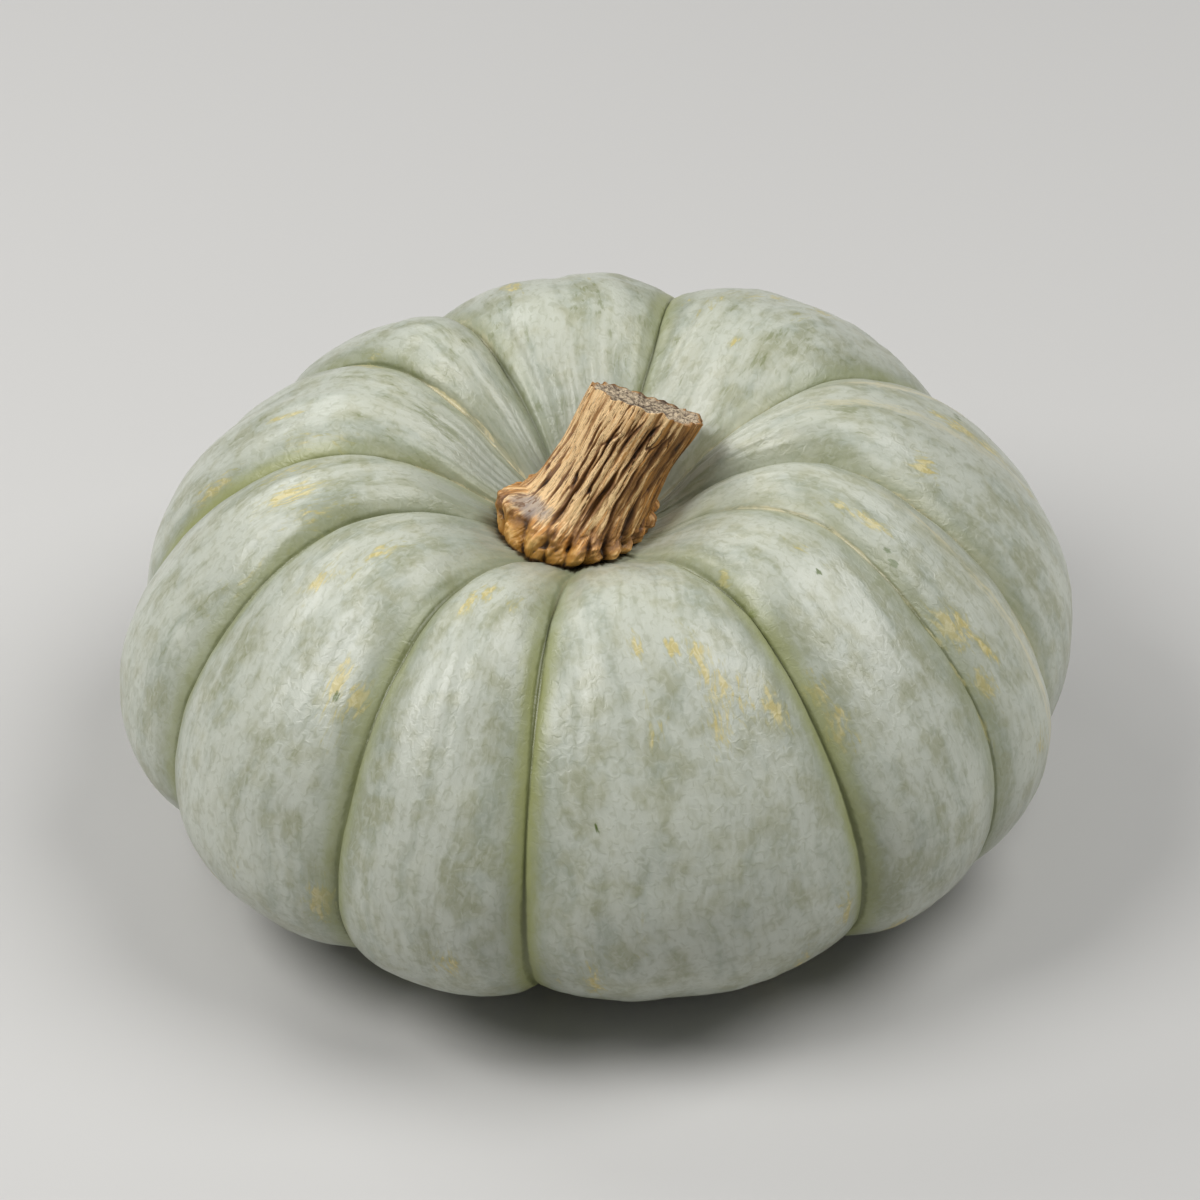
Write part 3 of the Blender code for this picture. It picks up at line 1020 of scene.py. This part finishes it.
def fissure_depth(angle, rise, grain):
    """How deep the fissures are at each point, in mm, and the same with soft sides from 0 to 1, for their
    painted shade.
    """
    depth, shade = np.zeros_like(angle), np.zeros_like(angle)
    wander = layers_at(grain, FISSURE_WANDER)
    fray = 1 + layers_at(grain, FISSURE_FRAY)
    rows = with_back_rows(FISSURES, BACK_FISSURE_BEARINGS, BACK_FISSURE_LOW, BACK_FISSURE_HIGH, STEM_SEED + 1)
    for top, foot, start, end, wide, deep in rows:
        middle = np.radians(foot + (top - foot) * rise) + wander
        beside = np.abs(wrapped(angle - middle)) * SHAFT_RADIUS / MM
        fade = within(rise, start, end, FISSURE_FADES)
        width = wide * (FISSURE_TIP_WIDTH + (1 - FISSURE_TIP_WIDTH) * fade) * fray
        depth = np.maximum(depth, deep * fade * (1 - smooth_step(beside, 0.15 * width, width)))
        shade = np.maximum(shade, fade * bell(beside, 1.2 * width))
    return depth, shade


def side_patch(angle, climb, bearing, width, middle, tall):
    """The strength, from 0 to 1, of a soft patch on the stem's side."""
    return bell(wrapped(angle - math.radians(bearing)), width) * bell(climb - middle, tall)


def shaft_relief(angle, rise, crowded, warp, grain):
    """How far the shaft's strands, cracks and fissures stand out in mm, and how much painted shade their
    hollows get.
    """
    strand = ridged(crowded * STRANDS / 2 + warp, STRAND_SHARPNESS)
    deep = np.clip(0.5 + 0.8 * noise_at(grain, (6, 6, 18), 13), 0.08, 1.2)
    fine_phase = crowded * FINE_STRANDS / 2 + 2.4 * warp + 0.9 * noise_at(grain, (4, 4, 12), 14)
    fine_strand = ridged(fine_phase, FINE_SHARPNESS)
    fine_deep = np.clip(0.6 + 0.9 * noise_at(grain, (5, 5, 12), 19), 0, 1.2)
    gate = smooth_step(noise_at(grain, (5, 5, 10), 16), -0.05, 0.2)
    crack = (1 - smooth_step(np.abs(noise_at(grain, (1.8, 1.8, 13), 15)), 0.015, 0.09)) * gate
    fissure, fissure_shade = fissure_depth(angle, rise, grain)
    height = STRAND_DEPTH * deep * (strand - 1) + FINE_DEPTH * fine_deep * (fine_strand - 1)
    height = height - CRACK_DEPTH * crack - FISSURE_SHARE * fissure
    hollow_shade = STRAND_SHADE * (1 - strand) * deep + FINE_SHADE * (1 - fine_strand) * fine_deep
    hollow_shade = hollow_shade + CRACK_SHADE * crack + FISSURE_SHADE * fissure_shade
    return height, hollow_shade


def foot_relief(climb, foot, crowded, warp, grain):
    """How far the foot's lumps and lobes stand out in mm, and how much painted shade the gaps between them
    get.
    """
    warts = layers_at(grain, WARTS)
    shifts = [1.6 * noise_at(grain, (5, 5, 6), seed) for seed in CELL_SHIFT_SEEDS]
    inside_lump = cells_at(grain + np.stack(shifts, -1), CELL_SIZE, CELL_SEED)
    lobe = ridged(crowded * STRANDS / 2 + warp, LOBE_SHARPNESS) - 0.6
    lobe = lobe * (1 + 0.9 * noise_at(grain, (7, 7, 40), 29))
    uneven = climb + 1.8 * noise_at(grain, (6, 6, 40), 28)
    height = LUMP_HEIGHT * (smooth_step(inside_lump, 0, 0.6) ** 0.7 - 0.5) * bell(climb - 4, 4.4)
    height += LOBE_HEIGHT * lobe * bell(uneven - 3.6, 3.8)
    height = height + foot * (1.1 * warts - 0.9) - UNDERCUT_DEPTH * bell(climb, 1.5)
    gap = 0.5 * smooth_step(inside_lump, 0.2, 0.0) + 0.45 * smooth_step(-lobe, 0.0, 0.5) - 0.7 * warts
    return height, foot * gap


def stem_relief(angle, climb, rise, grain):
    """How far the stem's surface stands out, in mm, and how much painted shade its hollows get."""
    warp = layers_at(grain, STRAND_WARP)
    turned = angle - FOOT_TWIST * np.clip(1 - climb / FOOT_TWIST_HEIGHT, 0, 1) ** 2
    crowded = turned + STRAND_CROWDING / STRANDS * 2 * np.sin(turned + CROWDED_ANGLE)
    foot = 1 - smooth_step(climb, *FOOT_FADE)
    shaft = 1 - 0.7 * foot
    shaft_height, shaft_hollow = shaft_relief(angle, rise, crowded, warp, grain)
    foot_height, foot_gap = foot_relief(climb, foot, crowded, warp, grain)
    rough = 0.16 * noise_at(grain, (0.9, 0.9, 7), 17) + 0.8 * noise_at(grain, (9, 9, 14), 18)
    shoulder = SHOULDER_HEIGHT * side_patch(angle, climb, *SHOULDER)
    flare = TOP_FLARE * smooth_step(rise, *TOP_FLARE_RISES)
    height = shaft * shaft_height
    height += rough + knob_height(angle, climb, grain) + shoulder + flare
    height += foot_height
    # Painted shade in the hollows and gaps, and darkest where the foot meets the rind.
    hollow_shade = np.maximum(shaft * shaft_hollow + foot_gap, 1.2 * bell(climb, 1.2))
    return height, np.clip(hollow_shade, 0, 1.5)


def cut_face(rim):
    """The flat cut inside its rim, the same sunk in the middle and pitted, each point's share of the way out,
    and the height of the pitted face in mm.
    """
    share = np.linspace(FIRST_CUT_SHARE, 1, CUT_RINGS, endpoint=False)[:, None]
    middle = rim.mean((0, 1))
    flat = middle + (rim - middle) * share[..., None]
    pits = layers_at(flat / MM, CUT_PITS)
    sunk = CUT_HOLLOW / MM * (1 - share**3) - pits * smooth_step(1 - share, 0, CUT_RIM_SHARE)
    facing = CUT_FACING / np.linalg.norm(CUT_FACING)
    return flat, flat - facing * (sunk * MM)[..., None], share, pits


def joined(cut_value, side_value, root_value):
    """Values for the cut, the side and the root as one set of rings. A number goes to all of its rings."""
    shape = side_value.shape[2:]
    above = np.broadcast_to(cut_value, (CUT_RINGS, STEM_SIDES, *shape))
    below = np.broadcast_to(root_value, (ROOT_RINGS, STEM_SIDES, *shape))
    return np.concatenate((above, side_value, below))


def make_stem():
    """The stem: its cut, its side with the relief, and its root in the fruit."""
    turn = 2 * math.pi * np.arange(STEM_SIDES) / STEM_SIDES
    rise, angle = np.meshgrid(np.linspace(1, 0, STEM_RINGS), turn, indexing="ij")
    side, climb = stem_side(angle, rise)
    grain = np.stack((GRAIN_RADIUS * np.cos(angle), GRAIN_RADIUS * np.sin(angle), climb), -1)
    height, hollow_shade = stem_relief(angle, climb, rise, grain)
    side = side + outward_normals(side) * (height * MM)[..., None]
    ragged = layers_at(grain, RAGGED_RIM) * bell(1 - rise, RAGGED_RISE)
    side = side + stem_axis()[1] * (ragged * MM)[..., None]
    flat_cut, cut, share, pits = cut_face(side[:1])

    foot_ring = side[-1:]
    foot_middle = foot_ring.mean((0, 1))
    root_share = np.linspace(1, 0, ROOT_RINGS + 2)[1:-1, None, None]
    root = foot_middle + (foot_ring - foot_middle) * root_share

    # Painted light on the stem's left-front side, which makes its strands paler.
    painted_light_side = bell(wrapped(angle - PAINTED_LIGHT_BEARING), PAINTED_LIGHT_WIDTH) * smooth_step(climb, *PAINTED_LIGHT_HEIGHTS)
    fields = {
        "grain": joined(flat_cut / MM, grain, grain[-1:]),
        # Painted shade in the stem's hollows, and in the pits of the cut.
        "hollow_shade": joined(smooth_step(-pits, -0.1, 0.5), hollow_shade, hollow_shade[-1:]),
        "climb": joined(climb[:1], climb, 0.0),
        "weathered": joined(0.0, side_patch(angle, climb, *WEATHERED_PATCH), 0.0),
        "cut": joined(smooth_step(1 - share, *CUT_EDGE_SHARES), np.zeros_like(rise), 0.0),
        "painted_light_side": joined(0.0, painted_light_side, 0.0),
    }
    return closed_mesh("pumpkin_stem", lean(joined(cut, side, root)) + AXIS_FOOT, fields)


STRAW = (1.0, 0.69, 0.35)
TAN = (0.60, 0.27, 0.06)
DEEP_TAN = (0.36, 0.165, 0.042)
WARM_BROWN = (0.17, 0.07, 0.017)
# Painted shade in the deepest grooves and in the cut's pits.
GROOVE_SHADE = (0.045, 0.020, 0.008)
WEATHERED = (0.40, 0.34, 0.30)
KNOB_GOLD = (0.58, 0.29, 0.055)
PALE_GOLD = (0.95, 0.62, 0.23)
CUT_GREY = (0.17, 0.125, 0.085)
CUT_PALE = (0.64, 0.52, 0.36)


def cork_material():
    """The dry stem: straw-coloured strands with painted shade in their grooves and painted light on one side,
    golden knobs at its foot, and a grey cut with painted shade in its pits.
    """
    nodes = Nodes("dry_stem_cork")
    grain = nodes.field("grain", True)
    hollow_shade, climb, cut, painted_light_side = (nodes.field(name) for name in ("hollow_shade", "climb", "cut", "painted_light_side"))
    wavy = nodes.wander(grain, 6, 1.0)
    streaks = nodes.noise(wavy, (1.1, 1.1, 15), detail=4, roughness=0.7)
    fibres = nodes.noise(wavy, (0.36, 0.36, 4), detail=3, roughness=0.65)
    blotch = nodes.noise(grain, (5, 5, 8), detail=4, roughness=0.65)
    specks = nodes.noise(grain, 0.8, detail=3, roughness=0.7)
    # Painted light on the left-front side makes the strands paler; painted shade in the hollows, with random
    # tone, makes them browner.
    light = nodes.plus(streaks, (painted_light_side, 0.26))
    shade = nodes.plus(hollow_shade, (fibres, 0.5), (blotch, 0.6), (painted_light_side, -0.24))
    colour = nodes.coats(
        TAN,
        (STRAW, light, 0.50, 0.70),
        (DEEP_TAN, shade, 0.52, 0.78, 0.92),
        (WARM_BROWN, shade, 0.76, 1.02, 0.92),
    )
    colour = nodes.mix(nodes.times(nodes.vein(streaks, 0.028, 0.004), 0.8), colour, WARM_BROWN)
    worn = nodes.plus(nodes.field("weathered"), (blotch, 0.7), (streaks, 0.6))
    weathered = nodes.times(nodes.step(worn, 1.15, 1.55), 0.8)
    colour = nodes.mix(weathered, colour, WEATHERED)
    colour = nodes.mix(nodes.times(weathered, nodes.vein(blotch, 0.03, 0.005)), colour, WARM_BROWN)
    golden = nodes.times(nodes.step(nodes.plus(climb, (blotch, 8)), 10.5, 6), 0.8)
    colour = nodes.mix(golden, colour, nodes.coats(PALE_GOLD, (KNOB_GOLD, shade, 0.36, 0.78)))
    # Darkest in the deepest hollows: painted shade.
    colour = nodes.coats(colour, (GROOVE_SHADE, shade, 1.06, 1.5, 0.95))
    cut_colour = nodes.coats(CUT_GREY, (CUT_PALE, specks, 0.40, 0.58))
    # Painted shade in the cut's pits.
    cut_colour = nodes.mix(nodes.times(hollow_shade, 0.75), cut_colour, GROOVE_SHADE)
    rough = nodes.plus(0.34, (fibres, 0.3), (golden, -0.2), (cut, 0.2))
    normal = nodes.bump(nodes.plus(fibres, (specks, 0.5)), 0.45)
    nodes.put(nodes.shader.inputs["Specular IOR Level"], 0.6)
    return nodes.finished(nodes.mix(cut, colour, cut_colour), rough, normal)


FLOOR_SIZE = 12.0
FLOOR_COLOUR = (0.58, 0.575, 0.565)
FLOOR_ROUGHNESS = 0.7
WORLD_COLOUR = (0.96, 0.98, 1.0)
WORLD_STRENGTH = 0.13


def make_floor():
    mesh = bpy.data.meshes.new("studio_floor")
    half = FLOOR_SIZE / 2
    corners = [(-half, -half, 0), (half, -half, 0), (half, half, 0), (-half, half, 0)]
    mesh.from_pydata(corners, [], [(0, 1, 2, 3)])
    nodes = Nodes("pale_floor")
    nodes.put(nodes.shader.inputs["Base Color"], FLOOR_COLOUR)
    nodes.put(nodes.shader.inputs["Roughness"], FLOOR_ROUGHNESS)
    mesh.materials.append(nodes.material)
    add_object("studio_floor", mesh)


# Each soft light's direction from the pumpkin, distance and size in metres, power in watts, and colour.
LIGHTS = {
    "left": ((-0.62, -0.14, 0.77), 1.2, 0.7, 9.0, (1.0, 0.99, 0.975)),
    "back": ((-0.55, 0.60, 0.58), 1.3, 0.6, 3.2, (1.0, 0.99, 0.975)),
    "right": ((0.54, 0.0, 0.84), 1.5, 1.1, 14.4, (1.0, 0.995, 0.98)),
}
LIGHT_TARGET = Vector((0, 0, 60)) * MM


def make_lights():
    for name, (direction, distance, size, power, colour) in LIGHTS.items():
        data = bpy.data.lights.new(name, "AREA")
        data.shape = "DISK"
        data.size = size
        data.energy = power
        data.color = colour
        light = add_object(name, data)
        light.location = LIGHT_TARGET + Vector(direction).normalized() * distance
        light.rotation_euler = (light.location - LIGHT_TARGET).to_track_quat("Z", "Y").to_euler()
    world = bpy.data.worlds.new("studio")
    world.use_nodes = True
    background = world.node_tree.nodes["Background"]
    background.inputs["Color"].default_value = (*WORLD_COLOUR, 1)
    background.inputs["Strength"].default_value = WORLD_STRENGTH
    bpy.context.scene.world = world


CAMERA_ELEVATION = math.radians(36.5)
CAMERA_ROLL = 0.032
CAMERA_DISTANCE = 2.0
CAMERA_TARGET_HEIGHT = 60 * MM
CAMERA_LENS = 226
SENSOR_WIDTH = 36


def make_camera():
    """The photograph's view, closer in: from the front, looking down, rolled a little."""
    data = bpy.data.cameras.new("camera")
    data.lens = CAMERA_LENS
    data.sensor_width = SENSOR_WIDTH
    camera = add_object("camera", data)
    backwards = Vector((0, -math.cos(CAMERA_ELEVATION), math.sin(CAMERA_ELEVATION)))
    level_up = Vector((0, math.sin(CAMERA_ELEVATION), math.cos(CAMERA_ELEVATION)))
    right = (Vector((1, 0, 0)) - CAMERA_ROLL * level_up).normalized()
    up = backwards.cross(right)
    target = Vector(AXIS_FOOT) + Vector((0, 0, CAMERA_TARGET_HEIGHT))
    turn = Matrix((right, up, backwards)).transposed().to_4x4()
    camera.matrix_world = Matrix.Translation(target + backwards * CAMERA_DISTANCE) @ turn
    bpy.context.scene.camera = camera
    bpy.context.scene.view_settings.view_transform = "Standard"


def add_piece(piece, material, node):
    piece.data.materials.append(material)
    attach(piece, "root")
    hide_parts(node)


add_piece(make_fruit(), rind_material(), "fruit")
add_piece(make_stem(), cork_material(), "stem")
make_floor()
make_lights()
make_camera()
